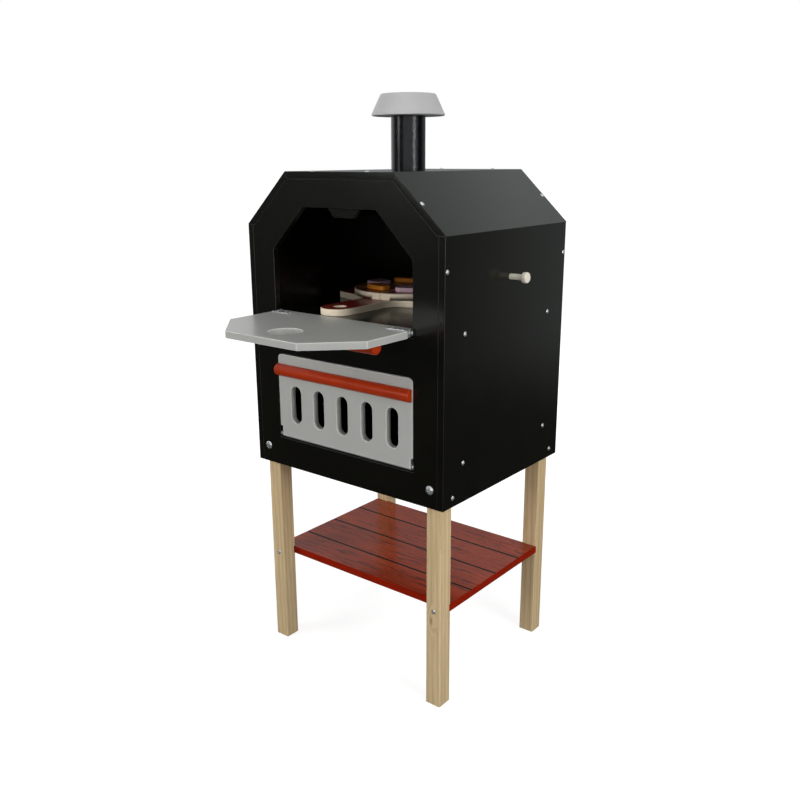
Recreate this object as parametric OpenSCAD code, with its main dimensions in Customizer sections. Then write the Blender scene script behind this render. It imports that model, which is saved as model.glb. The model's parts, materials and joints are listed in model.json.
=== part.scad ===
// Toy pizza oven on a wooden stand, with a drop-down oven door, a drop-down
// firebox flap, a chimney, a shelf, a peel and a sliced pizza.
// Origin: on the floor, under the middle of the cabinet. +X right, +Y back, +Z up.

/* [Cabinet] */
// Width over the side panels
body_w = 430; // [380:1:540]
// Depth over the front and back panels
body_d = 372; // [330:1:470]
// Height of the cabinet's lower edge above the floor
body_bottom = 375; // [250:1:500]
// Height of the side panels
wall_h = 438.6; // [425:0.1:540]
// Rise of the sloping roof above the side panels
roof_rise = 91.4; // [60:0.1:130]
// Width of the flat top
top_w = 237; // [160:1:300]
// How far the sloping roof panels stand proud of the side panels
eave = 1.5; // [0:0.1:6]
// Thickness of every cabinet panel
panel_t = 12; // [10:0.5:15]

/* [Floors] */
// Thickness of the two floors
floor_t = 12; // [9:0.5:15]
// Height of the oven floor's underside above the cabinet's lower edge
oven_floor_h = 277.5; // [270:0.5:300]
// Gap between a floor's front edge and the front panel, behind a mouth
floor_setback = 4; // [3.5:0.5:8]

/* [Oven mouth and door] */
// Width of the oven mouth
mouth_w = 307; // [250:1:340]
// Height of the oven mouth
mouth_h = 194.4; // [160:0.1:200]
// Size of the mouth's cut corners
mouth_chamfer = 73.5; // [40:0.5:90]
// Gap between the shut door and the mouth, at the sides and the top
door_gap = 1.3; // [0.8:0.1:3]
// Diameter of the round window in the door
window_d = 55; // [30:1:70]
// Height of the window above the door's hinge line
window_h = 132; // [125:1:140]
// Height of the handle above the door's hinge line
door_handle_h = 90; // [50:1:90]

/* [Firebox mouth and flap] */
// Width of the firebox mouth
flap_mouth_w = 309.4; // [250:0.1:340]
// Height of the firebox mouth
flap_mouth_h = 159.4; // [150:0.1:175]
// Radius of the flap's upper corners
flap_corner_r = 8; // [3:0.5:12]
// Height of the handle above the flap's hinge line
flap_handle_h = 123; // [115:1:128]
// Number of slots in the flap
slot_count = 5; // [1:1:5]
// Width of a slot
slot_w = 25; // [12:0.5:32]
// Height of a slot
slot_h = 69; // [40:1:72]
// Distance from one slot to the next
slot_pitch = 55.5; // [45:0.5:60]
// Height of the slots' lower ends above the flap's lower edge
slot_rise = 32.8; // [26:0.1:36]

/* [Doors and hinges] */
// Thickness of the door and the flap
door_t = 12; // [10:0.5:14]
// Angle at which the oven door is drawn, 90 lying open and 0 shut
door_open_angle = 90; // [0:5:90]
// Bevel along the outer lower edge of the door and the flap
hinge_bevel = 5; // [4:0.5:6]
// Width of the notch at each hinged corner
notch_w = 5; // [4:0.5:8]
// Height of the notch at each hinged corner
notch_h = 22; // [18:1:30]
// Diameter of the hinge pins
pin_d = 4; // [3:0.5:5]
// Thickness of the hinge brackets' sheet metal
sheet_t = 1.5; // [1:0.1:2]
// Length of a hinge bracket along the door
bracket_l = 38; // [30:1:50]
// Diameter of the two rod handles
handle_d = 22; // [16:1:28]

/* [Stand] */
// Side of the square legs
leg_w = 30; // [24:1:40]
// How far the legs reach up inside the cabinet
leg_lap = 63; // [50:1:80]
// Radius of the legs' long edges
leg_r = 2; // [1:0.5:4]
// Height of the shelf's upper face above the floor
shelf_top = 189; // [120:1:230]
// Thickness of the shelf
shelf_t = 14; // [10:0.5:20]
// How deep the shelf is let into the legs
shelf_let_in = 3; // [1:0.5:8]
// Distance between the shelf's grooves
groove_pitch = 80; // [50:1:95]
// Width of the shelf's grooves
groove_w = 2.4; // [1:0.1:5]

/* [Chimney] */
// Outside diameter of the chimney pipe
pipe_d = 60; // [40:1:80]
// Wall of the chimney pipe
pipe_wall = 5; // [3:0.5:8]
// Height of the chimney pipe
pipe_h = 90.5; // [60:0.5:130]
// Diameter of the chimney cap at its lower edge
cap_d = 127.8; // [90:0.1:150]
// Diameter of the chimney cap at its top
cap_top_d = 96.8; // [70:0.1:120]
// Height of the chimney cap
cap_h = 35.7; // [20:0.1:50]

/* [Peg] */
// Length of the peg outside the cabinet
peg_l = 34; // [20:1:50]
// Diameter of the peg's stem
peg_d = 10; // [8:0.5:14]
// Diameter of the peg's head
peg_head_d = 18; // [14:0.5:24]
// Height of the peg above the cabinet's lower edge
peg_h = 360.5; // [320:0.5:400]

/* [Peel] */
// Length of the peel
peel_l = 338; // [320:1:345]
// Width of the peel's blade
peel_w = 258; // [215:1:270]
// Width of the peel's handle
peel_handle_w = 60; // [40:1:66]
// Distance from the peel's tip to the widest part of its blade
peel_neck = 172; // [150:1:185]
// Thickness of the peel
peel_t = 12; // [8:0.5:15]
// Diameter of the hanging hole
peel_hole_d = 22; // [19:0.5:26]

/* [Pizza] */
// Diameter of the pizza
pizza_d = 200; // [150:1:204]
// Thickness of the pizza
pizza_t = 12; // [8:0.5:16]
// Number of slices
slice_count = 6; // [4:1:8]
// Width of the cuts between the slices
slice_gap = 1.2; // [0.6:0.1:3]
// Thickness of the toppings
topping_t = 8; // [4:0.5:10]

/* [Clearances] */
// Radial running clearance of a hinge pin in its bush
run_gap = 0.05; // [0.02:0.01:0.1]
// Radial clearance of a part that is pressed, glued or screwed into its hole
seat_gap = 0.05; // [0.02:0.01:0.2]
// How far the shut door and flap stand off their stops
stop_gap = 0.3; // [0.1:0.1:1]
// Gap under a hinged edge at the lower side of its mouth
sill_gap = 0.9; // [0.6:0.1:2]
// Gap between parts that only lie on each other
rest_gap = 0.2; // [0.1:0.1:0.5]

/* [Hidden] */

// Colours
BLACK = "#1c1c1b";
GREY = "#b4b5b2";
RED = "#c8401e";
PINE = "#d9c29a";
BOARD = "#b89b74";
STEEL = "#c9ccd0";
CREAM = "#e6d7b5";
MAROON = "#7d2422";
PURPLE = "#b48cae";
ORANGE = "#e08a1c";

// Sides of a drawn circle: plain, small, screw-sized and large
$fn = 64;
SMALL = 32;
TINY = 24;
LARGE = 96;

// Overlap of joined shapes, and how far a cutting shape reaches past what it cuts
eps = 0.01;
through = 1;

front_y = -body_d / 2;
back_y = body_d / 2;
side_x = body_w / 2;
inner_x = side_x - panel_t;
inner_front_y = front_y + panel_t;
inner_back_y = back_y - panel_t;

// Roof outline, as seen from the front
eave_z = body_bottom + wall_h;
roof_z = eave_z + roof_rise;
top_x = top_w / 2;
eave_x = side_x + eave;
roof_a = atan2(roof_rise, eave_x - top_x);
mitre_x = top_x - panel_t * tan(roof_a / 2);
eave_inner_x = eave_x - panel_t / sin(roof_a);

// Floors and hinge lines
leg_top = body_bottom + leg_lap;
firebox_floor_top = leg_top + floor_t;
oven_floor_top = body_bottom + oven_floor_h + floor_t;
floor_side_gap = 3;
door_step = 1.5;
door_axis_z = oven_floor_top + door_step - door_t / 2;
flap_drop = 7.5;
flap_axis_z = firebox_floor_top - flap_drop - door_t / 2;
hinge_y = inner_front_y - stop_gap - door_t / 2;
sill = door_t / 2 + sill_gap;
mouth_top = mouth_h - sill;
flap_mouth_top = flap_mouth_h - sill;
door_w = mouth_w - 2 * door_gap;
door_top = mouth_top - door_gap;
flap_w = flap_mouth_w - 2 * door_gap;
flap_top = flap_mouth_top - door_gap;

// Hinge fittings
bracket_h = 14;
bracket_rise = door_t / 2;
bracket_screw_pitch = 20.5;
leaf_edge = 4.5;
leaf_gap = 0.5;
bush_d = 6.4;
bush_l = 10;
flange_d = 9;
flange_in_notch = 1.8;
flange_t = door_gap + flange_in_notch;
pin_end_gap = 1.5;
handle_inset = door_gap / 2;
handle_sink = 9;

// Stops
stop_t = 12;
stop_lap = 16;
flap_stop_lap = 6;
stop_h = 45;
stop_tip = 39;
stop_w = 64;
stop_screw_drop = 16;
door_stop_z = door_axis_z + mouth_top - stop_lap;
flap_stop_z = flap_axis_z + flap_mouth_top - flap_stop_lap;

// Legs and shelf
leg_x = inner_x - leg_w / 2;
leg_y = back_y - panel_t - leg_w / 2;
shelf_d = body_d - 2 * panel_t - 2 * leg_w + 2 * shelf_let_in;
shelf_z = shelf_top - shelf_t;
groove_depth = 1;
// Grooves on each side of the middle one
groove_side = 1;

// Chimney plug
plug_h = 20;

// Screws: head diameter, head height, shank diameter, shank length
BOLT = [15, 3.2, 6, 38];
PANEL_SCREW = [8, 1.8, 3.6, 30];
SHELF_SCREW = [9, 2, 4, 38];
STOP_SCREW = [8, 1.8, 4, stop_t + 2 * panel_t / 3];
CHIMNEY_SCREW = [9, 2, 4, panel_t + plug_h / 2];
HINGE_SCREW = [5.6, 1.2, 2.4, 9];

// Cross recess: length by the head's diameter, width by length, height by the head's height
recess_l = 0.55;
recess_w = 0.25;
recess_z = 0.45;

// Depth of a screw hole past the screw's tip
tip_gap = 1;

// Screw places
bolt_h = 31.7;
leg_screw_h = 16;
panel_screw_h = 385;
floor_screw_in = 55.5;
stop_screw_x = 12;
chimney_screw_x = 12;

// Chimney and peg
cap_rim = 1.5;
spigot_h = 14;
peg_head_l = 10;
peg_tenon_l = 10;
peg_r = 3;

// Peel and pizza: places on the oven floor
peel_x = -48;
peel_setback = 5.5;
peel_front = inner_front_y + peel_setback;
peel_z = oven_floor_top + rest_gap;
peel_shoulder = 30;
peel_fillet = 34;
peel_corner = 14;
hole_in = 35;
pizza_z = peel_z + peel_t + rest_gap;
pizza_off = 4;
pizza_in = 8;
pizza_x = peel_x - pizza_off;
pizza_y = peel_front + peel_l - pizza_in - pizza_d / 2;
cut_angle = -81;
crust_r = 2;

// Toppings: length and width, then [slice number, turn] of each one
topping_z = pizza_z + pizza_t + rest_gap;
topping_reach = 0.62;
topping_round = 0.3;
purple_size = [42, 33.6];
orange_size = [48.3, 23.1];
purple_places = [[4, 75], [2, 60], [0, 80]];
orange_places = [[5, 100], [3, 70], [1, 110]];

// Moves children to each place: [position, rotation]
module at(places) {
    for (p = places) translate(p[0]) rotate(p[1]) children();
}

// Stands a flat outline upright: the outline's Y becomes Z, centred on Y = 0
module upright(t) {
    translate([0, t / 2, 0]) rotate([90, 0, 0]) linear_extrude(t) children();
}

// Runs an outline drawn in Y and Z along the X axis
module along_x(length) {
    rotate([90, 0, 90]) linear_extrude(length, center = true) children();
}

module rounded_rect(w, d, r) {
    square([w - 2 * r, d], center = true);
    square([w, d - 2 * r], center = true);
    for (x = [-1, 1], y = [-1, 1])
        translate([x * (w / 2 - r), y * (d / 2 - r)]) circle(r, $fn = SMALL);
}

// A round-headed cross screw, its head on Z = 0 and its shank below
module screw(size) {
    cap = (size[0] * size[0] / 4 + size[1] * size[1]) / (2 * size[1]);
    slot = size[0] * recess_l;
    difference() {
        union() {
            intersection() {
                translate([0, 0, size[1] - cap]) sphere(cap);
                cylinder(d = size[0], h = size[1] * 2, $fn = SMALL);
            }
            translate([0, 0, -size[3]])
                cylinder(d = size[2], h = size[3] + size[1] / 2, $fn = TINY);
        }
        for (a = [0, 90]) rotate(a)
            translate([-slot / 2, -slot * recess_w / 2, size[1] * recess_z])
                cube([slot, slot * recess_w, size[1]]);
    }
}

module screw_hole(size) {
    translate([0, 0, -size[3] - tip_gap])
        cylinder(d = size[2] + 2 * seat_gap, h = size[3] + tip_gap + through, $fn = TINY);
}

// Screw places
TO_FRONT = [90, 0, 0];
TO_BACK = [-90, 0, 0];
function to_side(s) = [0, s * 90, 0];
function to_slope(s) = [0, s * roof_a, 0];
function leg_bolt_places() = [for (s = [-1, 1]) each [
    [[s * leg_x, front_y, body_bottom + bolt_h], TO_FRONT],
    [[s * leg_x, back_y, body_bottom + bolt_h], TO_BACK]]];
function side_leg_places() = [for (s = [-1, 1], f = [-1, 1])
    [[s * side_x, f * leg_y, body_bottom + leg_screw_h], to_side(s)]];
function side_panel_places() = [for (s = [-1, 1], f = [-1, 1])
    [[s * side_x, f * (back_y - panel_t / 2), body_bottom + panel_screw_h], to_side(s)]];
function floor_places(z) = [for (s = [-1, 1], f = [-1, 1])
    [[s * side_x, f * (back_y - floor_screw_in), z], to_side(s)]];
oven_floor_screws = floor_places(oven_floor_top - floor_t / 2);
firebox_floor_screws = floor_places(firebox_floor_top - floor_t / 2);
slope_mid = [(top_x + eave_x) / 2, (roof_z + eave_z) / 2];
function slope_places() = [for (s = [-1, 1], f = [-1, 1])
    [[s * slope_mid[0], f * (back_y - panel_t / 2), slope_mid[1]], to_slope(s)]];
function top_places() = [for (s = [-1, 1], f = [-1, 1])
    [[s * top_x / 2, f * (back_y - panel_t / 2), roof_z], [0, 0, 0]]];
function shelf_screw_places() = [for (s = [-1, 1]) each [
    [[s * leg_x, inner_front_y, shelf_top - shelf_t / 2], TO_FRONT],
    [[s * leg_x, inner_back_y, shelf_top - shelf_t / 2], TO_BACK]]];
function stop_screw_places() = [for (s = [-1, 1], z = stop_screw_heights)
    [[s * stop_screw_x, inner_front_y + stop_t, z], TO_BACK]];
stop_screw_heights = [for (z = [door_stop_z, flap_stop_z]) z + stop_h - stop_screw_drop];
function chimney_screw_places() = [for (s = [-1, 1])
    [[s * chimney_screw_x, 0, roof_z - panel_t], [180, 0, 0]]];

// Cabinet

// The outline of the front and back panels, inside the sides and under the roof
module inner_outline() {
    polygon([[-inner_x, body_bottom], [inner_x, body_bottom], [inner_x, eave_z],
        [eave_inner_x, eave_z], [mitre_x, roof_z - panel_t], [-mitre_x, roof_z - panel_t],
        [-eave_inner_x, eave_z], [-inner_x, eave_z]]);
}

// A door-shaped outline with cut upper corners, from its hinge line
module cut_corner_outline(w, low, high, cut) {
    polygon([[-w / 2, -low], [w / 2, -low], [w / 2, high - cut], [w / 2 - cut, high],
        [cut - w / 2, high], [-w / 2, high - cut]]);
}

// A door-shaped outline with rounded upper corners, from its hinge line
module round_corner_outline(w, low, high, r) {
    translate([-w / 2, -low]) square([w, low + high - r]);
    translate([r - w / 2, -low]) square([w - 2 * r, low + high]);
    for (s = [-1, 1]) translate([s * (w / 2 - r), high - r]) circle(r);
}

module front_panel() {
    color(BLACK) difference() {
        translate([0, inner_front_y - panel_t / 2, 0]) upright(panel_t) difference() {
            inner_outline();
            translate([0, door_axis_z])
                cut_corner_outline(mouth_w, sill, mouth_top, mouth_chamfer);
            translate([0, flap_axis_z]) round_corner_outline(flap_mouth_w, sill,
                flap_mouth_top, flap_corner_r + door_gap);
        }
        bush_holes(mouth_w, door_axis_z);
        bush_holes(flap_mouth_w, flap_axis_z);
        at(leg_bolt_places()) screw_hole(BOLT);
        at(side_panel_places()) screw_hole(PANEL_SCREW);
        at(concat(slope_places(), top_places())) screw_hole(PANEL_SCREW);
        at(stop_screw_places()) screw_hole(STOP_SCREW);
    }
}

module back_panel() {
    color(BLACK) difference() {
        translate([0, back_y - panel_t / 2, 0]) upright(panel_t) inner_outline();
        at(leg_bolt_places()) screw_hole(BOLT);
        at(side_panel_places()) screw_hole(PANEL_SCREW);
        at(concat(slope_places(), top_places())) screw_hole(PANEL_SCREW);
    }
}

module side_panel(s) {
    color(BLACK) difference() {
        translate([s < 0 ? -side_x : inner_x, front_y, body_bottom])
            cube([panel_t, body_d, wall_h]);
        at(side_leg_places()) screw_hole(PANEL_SCREW);
        at(side_panel_places()) screw_hole(PANEL_SCREW);
        at(oven_floor_screws) screw_hole(PANEL_SCREW);
        at(firebox_floor_screws) screw_hole(PANEL_SCREW);
        if (s > 0) peg_hole();
    }
}

module roof_panel(s) {
    color(BLACK) difference() {
        upright(body_d) polygon([for (p = [[top_x, roof_z], [eave_x, eave_z],
            [eave_inner_x, eave_z], [mitre_x, roof_z - panel_t]]) [s * p[0], p[1]]]);
        at(slope_places()) screw_hole(PANEL_SCREW);
    }
}

module top_panel() {
    color(BLACK) difference() {
        upright(body_d) polygon([[-top_x, roof_z], [top_x, roof_z],
            [mitre_x, roof_z - panel_t], [-mitre_x, roof_z - panel_t]]);
        at(top_places()) screw_hole(PANEL_SCREW);
        at(chimney_screw_places()) screw_hole(CHIMNEY_SCREW);
    }
}

// A floor board that meets the front panel beside the mouth and clears the hinge in front of it
module floor_board(top, clear_w, places) {
    color(BOARD) difference() {
        translate([-inner_x, inner_front_y, top - floor_t])
            cube([2 * inner_x, body_d - 2 * panel_t, floor_t]);
        translate([-clear_w / 2, inner_front_y - through, top - floor_t - through])
            cube([clear_w, floor_setback + through, floor_t + 2 * through]);
        at(places) screw_hole(PANEL_SCREW);
    }
}

module oven_floor() {
    floor_board(oven_floor_top, mouth_w + 2 * floor_side_gap, oven_floor_screws);
}

module firebox_floor() {
    floor_board(firebox_floor_top, flap_mouth_w + 2 * floor_side_gap, firebox_floor_screws);
}

// A block behind the upper edge of a mouth, narrowing downwards
module stop_block(bottom) {
    cut = (stop_w - stop_tip) / 2;
    color(BLACK) difference() {
        translate([0, inner_front_y + stop_t / 2, bottom]) upright(stop_t)
            polygon([[-stop_tip / 2, 0], [stop_tip / 2, 0], [stop_w / 2, cut],
                [stop_w / 2, stop_h], [-stop_w / 2, stop_h], [-stop_w / 2, cut]]);
        at(stop_screw_places()) screw_hole(STOP_SCREW);
    }
}

module door_stop() { stop_block(door_stop_z); }
module flap_stop() { stop_block(flap_stop_z); }

module stop_screws() {
    color(STEEL) at(stop_screw_places()) screw(STOP_SCREW);
}

module side_leg_screws() { color(STEEL) at(side_leg_places()) screw(PANEL_SCREW); }
module side_panel_screws() { color(STEEL) at(side_panel_places()) screw(PANEL_SCREW); }
module leg_bolts() { color(STEEL) at(leg_bolt_places()) screw(BOLT); }
module shelf_screws() { color(STEEL) at(shelf_screw_places()) screw(SHELF_SCREW); }
module floor_screws() {
    color(STEEL) at(concat(oven_floor_screws, firebox_floor_screws)) screw(PANEL_SCREW);
}
module roof_screws() { color(STEEL) at(concat(slope_places(), top_places())) screw(PANEL_SCREW); }

// Stand

module leg(sx, sy) {
    color(PINE) difference() {
        translate([sx * leg_x, sy * leg_y, 0])
            linear_extrude(leg_top) rounded_rect(leg_w, leg_w, leg_r);
        translate([0, 0, shelf_z]) shelf_blank();
        at(leg_bolt_places()) screw_hole(BOLT);
        at(side_leg_places()) screw_hole(PANEL_SCREW);
        at(shelf_screw_places()) screw_hole(SHELF_SCREW);
    }
}

module shelf_blank() {
    translate([-inner_x, -shelf_d / 2, 0]) cube([2 * inner_x, shelf_d, shelf_t]);
}

module shelf() {
    color(RED) difference() {
        translate([0, 0, shelf_z]) shelf_blank();
        for (i = [-groove_side : groove_side])
            translate([-inner_x - through, i * groove_pitch - groove_w / 2, shelf_top - groove_depth])
                cube([2 * inner_x + 2 * through, groove_w, groove_depth + through]);
        at(shelf_screw_places()) screw_hole(SHELF_SCREW);
    }
}

// Chimney

module chimney_pipe() {
    color(BLACK) translate([0, 0, roof_z]) difference() {
        cylinder(d = pipe_d, h = pipe_h);
        translate([0, 0, -through]) cylinder(d = pipe_d - 2 * pipe_wall, h = pipe_h + 2 * through);
    }
}

// The disc that the pipe is pushed over, screwed on from below
module chimney_plug() {
    color(BOARD) difference() {
        translate([0, 0, roof_z])
            cylinder(d = pipe_d - 2 * pipe_wall - 2 * seat_gap, h = plug_h);
        at(chimney_screw_places()) screw_hole(CHIMNEY_SCREW);
    }
}

module chimney_screws() {
    color(STEEL) at(chimney_screw_places()) screw(CHIMNEY_SCREW);
}

// A turned cap with eased rims and a spigot that fills the pipe
module chimney_cap() {
    spigot_r = pipe_d / 2 - pipe_wall - seat_gap;
    color(GREY) translate([0, 0, roof_z + pipe_h]) rotate_extrude($fn = LARGE) {
        translate([0, -spigot_h]) square([spigot_r, spigot_h + eps]);
        polygon([[0, 0], [cap_d / 2 - cap_rim, 0], [cap_d / 2, cap_rim],
            [cap_top_d / 2, cap_h - cap_rim], [cap_top_d / 2 - cap_rim, cap_h], [0, cap_h]]);
    }
}

// Peg

module peg_hole() {
    translate([side_x - peg_tenon_l - tip_gap, 0, body_bottom + peg_h]) rotate([0, 90, 0])
        cylinder(d = peg_d + 2 * seat_gap, h = peg_tenon_l + tip_gap + through);
}

module hanging_peg() {
    head = peg_l - peg_head_l;
    color(PINE) translate([side_x, 0, body_bottom + peg_h]) rotate([0, 90, 0]) {
        translate([0, 0, -peg_tenon_l]) cylinder(d = peg_d, h = peg_tenon_l + head + peg_r);
        translate([0, 0, head]) rotate_extrude() {
            square([peg_head_d / 2 - peg_r, peg_head_l]);
            translate([0, peg_r]) square([peg_head_d / 2, peg_head_l - 2 * peg_r]);
            for (z = [peg_r, peg_head_l - peg_r])
                translate([peg_head_d / 2 - peg_r, z]) circle(peg_r, $fn = SMALL);
        }
    }
}

// Door and flap. Each is drawn shut, from its hinge line, and then turned into place.

module door_pose() {
    translate([0, hinge_y, door_axis_z]) rotate([door_open_angle, 0, 0]) children();
}

module flap_pose() {
    translate([0, hinge_y, flap_axis_z]) children();
}

module hinged_board(w) {
    low = door_t / 2;
    difference() {
        upright(door_t) children();
        for (s = [-1, 1])
            translate([s * (w - notch_w + through) / 2, 0, (notch_h - door_t - through) / 2])
                cube([notch_w + through, door_t + 2 * through, notch_h + through], center = true);
        along_x(w + 2 * through) polygon([[-low - through, -low - through],
            [hinge_bevel - low + through, -low - through], [-low - through, hinge_bevel - low + through]]);
        at(bracket_screws(w)) screw_hole(HINGE_SCREW);
    }
}

function bracket_mid(w) = w / 2 - notch_w - bracket_l / 2 + sheet_t;
function bracket_screws(w) = [for (s = [-1, 1], d = [-1, 1])
    [[s * bracket_mid(w) + d * bracket_screw_pitch / 2, door_t / 2,
        bracket_rise + bracket_h / 2], TO_BACK]];
// The same places, with the heads on the bracket instead of the board
function bracket_heads(w) = [for (p = bracket_screws(w)) [p[0] + [0, sheet_t, 0], p[1]]];

module rod_handle(w, h) {
    centre = -door_t / 2 - (handle_d / 2 - handle_sink);
    color(RED) difference() {
        translate([0, centre, h]) rotate([0, 90, 0])
            cylinder(d = handle_d, h = w - 2 * handle_inset, center = true);
        translate([-w, -door_t / 2, h - handle_d]) cube([2 * w, handle_d, 2 * handle_d]);
    }
}

// A leaf on the inner face and an ear in the notch, holding the pin on the hinge line
module brackets(w) {
    wall = w / 2 - notch_w;
    ear_z = notch_h - door_t / 2 - leaf_gap;
    color(STEEL) difference() {
        for (s = [-1, 1]) mirror([s < 0 ? 1 : 0, 0, 0]) {
            translate([wall + sheet_t - bracket_l, door_t / 2, bracket_rise])
                cube([bracket_l, sheet_t, bracket_h]);
            translate([wall, -leaf_edge, -leaf_edge])
                cube([sheet_t, leaf_edge + door_t / 2 + sheet_t, ear_z + leaf_edge]);
        }
        rotate([0, 90, 0]) cylinder(d = pin_d + 2 * seat_gap, h = w, center = true);
        at(bracket_heads(w)) screw_hole(HINGE_SCREW);
    }
}

module hinge_pins(w, mouth) {
    start = w / 2 - notch_w;
    color(STEEL) for (s = [-1, 1]) mirror([s < 0 ? 1 : 0, 0, 0])
        translate([start + seat_gap, 0, 0]) rotate([0, 90, 0])
            cylinder(d = pin_d, h = mouth / 2 + bush_l - pin_end_gap - start);
}

module bush_holes(mouth, z) {
    for (s = [-1, 1]) mirror([s < 0 ? 1 : 0, 0, 0])
        translate([mouth / 2 - through, hinge_y, z]) rotate([0, 90, 0])
            cylinder(d = bush_d + 2 * seat_gap, h = bush_l + through);
}

module bushes(mouth, z) {
    color(STEEL) for (s = [-1, 1]) mirror([s < 0 ? 1 : 0, 0, 0])
        translate([mouth / 2, hinge_y, z]) rotate([0, 90, 0]) difference() {
            union() {
                cylinder(d = bush_d, h = bush_l);
                translate([0, 0, -flange_t]) cylinder(d = flange_d, h = flange_t);
            }
            translate([0, 0, -flange_t - through])
                cylinder(d = pin_d + 2 * run_gap, h = bush_l + flange_t + 2 * through);
        }
}

module door_panel() {
    color(GREY) door_pose() difference() {
        hinged_board(door_w) cut_corner_outline(door_w, door_t / 2, door_top, mouth_chamfer);
        translate([0, 0, window_h]) rotate([90, 0, 0])
            cylinder(d = window_d, h = door_t + 2 * through, center = true);
    }
}

module door_handle() { door_pose() rod_handle(door_w, door_handle_h); }
module door_brackets() { door_pose() brackets(door_w); }
module door_hinge_pins() { door_pose() hinge_pins(door_w, mouth_w); }
module door_bushes() { bushes(mouth_w, door_axis_z); }
module door_bracket_screws() { color(STEEL) door_pose() at(bracket_heads(door_w)) screw(HINGE_SCREW); }

module slot_outline() {
    translate([-slot_w / 2, slot_w / 2]) square([slot_w, slot_h - slot_w]);
    for (z = [slot_w / 2, slot_h - slot_w / 2]) translate([0, z]) circle(d = slot_w);
}

module flap_panel() {
    color(GREY) flap_pose() hinged_board(flap_w) difference() {
        round_corner_outline(flap_w, door_t / 2, flap_top, flap_corner_r);
        for (i = [0 : slot_count - 1])
            translate([(i - (slot_count - 1) / 2) * slot_pitch, slot_rise - door_t / 2])
                slot_outline();
    }
}

module flap_handle() { flap_pose() rod_handle(flap_w, flap_handle_h); }
module flap_brackets() { flap_pose() brackets(flap_w); }
module flap_hinge_pins() { flap_pose() hinge_pins(flap_w, flap_mouth_w); }
module flap_bushes() { bushes(flap_mouth_w, flap_axis_z); }
module flap_bracket_screws() { color(STEEL) flap_pose() at(bracket_heads(flap_w)) screw(HINGE_SCREW); }

// Peel, drawn with its handle's tip at the origin and its blade along +Y

// A round-ended handle that sweeps out to a blade with rounded corners
module peel_outline() {
    hw = peel_handle_w / 2;
    bw = peel_w / 2;
    offset(r = peel_corner) offset(delta = -peel_corner)
    offset(r = -peel_fillet) offset(delta = peel_fillet)
        union() {
            translate([0, hw]) circle(hw);
            translate([-hw, hw]) square([peel_handle_w, peel_neck]);
            polygon([[-hw, peel_neck - peel_shoulder], [hw, peel_neck - peel_shoulder],
                [bw, peel_neck], [bw, peel_l], [-bw, peel_l], [-bw, peel_neck]]);
        }
}

module peel() {
    color(MAROON) translate([peel_x, peel_front, peel_z]) difference() {
        linear_extrude(peel_t) peel_outline();
        translate([0, hole_in, -through]) cylinder(d = peel_hole_d, h = peel_t + 2 * through);
    }
}

// Pizza

module pizza_disc() {
    r = pizza_d / 2;
    rotate_extrude($fn = LARGE) {
        square([r - crust_r, pizza_t]);
        square([r, pizza_t - crust_r]);
        translate([r - crust_r, pizza_t - crust_r]) circle(crust_r, $fn = SMALL);
    }
}

// Slice number i, cut from the disc between two straight cuts
module pizza_slice(i) {
    half = 180 / slice_count;
    tip = slice_gap / 2 / sin(half);
    side = pizza_d * tan(half);
    if (i < slice_count)
        color(CREAM) translate([pizza_x, pizza_y, pizza_z]) intersection() {
            pizza_disc();
            rotate(slice_middle(i)) translate([tip, 0, -through])
                linear_extrude(pizza_t + 2 * through)
                polygon([[0, 0], [pizza_d, side], [pizza_d, -side]]);
        }
}

// The direction of a slice's middle line
function slice_middle(i) = cut_angle + (2 * i + 1) * 180 / slice_count;

// Round-cornered pieces, one on each [slice number, turn]
module toppings(size, places) {
    for (p = places)
        translate([pizza_x, pizza_y, topping_z]) rotate(slice_middle(p[0]))
            translate([pizza_d / 2 * topping_reach, 0, 0]) rotate(p[1])
            linear_extrude(topping_t) rounded_rect(size[0], size[1], size[1] * topping_round);
}

module purple_toppings() { color(PURPLE) toppings(purple_size, purple_places); }
module orange_toppings() { color(ORANGE) toppings(orange_size, orange_places); }

front_panel();
back_panel();
side_panel(-1);  // left_side_panel
side_panel(1);  // right_side_panel
roof_panel(-1);  // left_roof_panel
roof_panel(1);  // right_roof_panel
top_panel();
oven_floor();
firebox_floor();
door_stop();
flap_stop();
stop_screws();
leg(-1, -1);  // front_left_leg
leg(1, -1);  // front_right_leg
leg(-1, 1);  // back_left_leg
leg(1, 1);  // back_right_leg
shelf();
leg_bolts();
side_leg_screws();
side_panel_screws();
floor_screws();
roof_screws();
shelf_screws();
chimney_pipe();
chimney_plug();
chimney_cap();
chimney_screws();
hanging_peg();
door_panel();
door_handle();
door_brackets();
door_hinge_pins();
door_bushes();
door_bracket_screws();
flap_panel();
flap_handle();
flap_brackets();
flap_hinge_pins();
flap_bushes();
flap_bracket_screws();
peel();
pizza_slice(0);  // pizza_slice_1
pizza_slice(1);  // pizza_slice_2
pizza_slice(2);  // pizza_slice_3
pizza_slice(3);  // pizza_slice_4
pizza_slice(4);  // pizza_slice_5
pizza_slice(5);  // pizza_slice_6
purple_toppings();
orange_toppings();
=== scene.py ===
"""Looks of a toy pizza oven: painted boards, pine legs, lacquered rods, plated screws, a peel and a pizza.

Every length is in metres, in the part's own frame: +X right, +Y back, +Z up, feet on Z = 0.
"""

import json
import math

import bmesh
import bpy
from mathutils import Matrix, Vector

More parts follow.
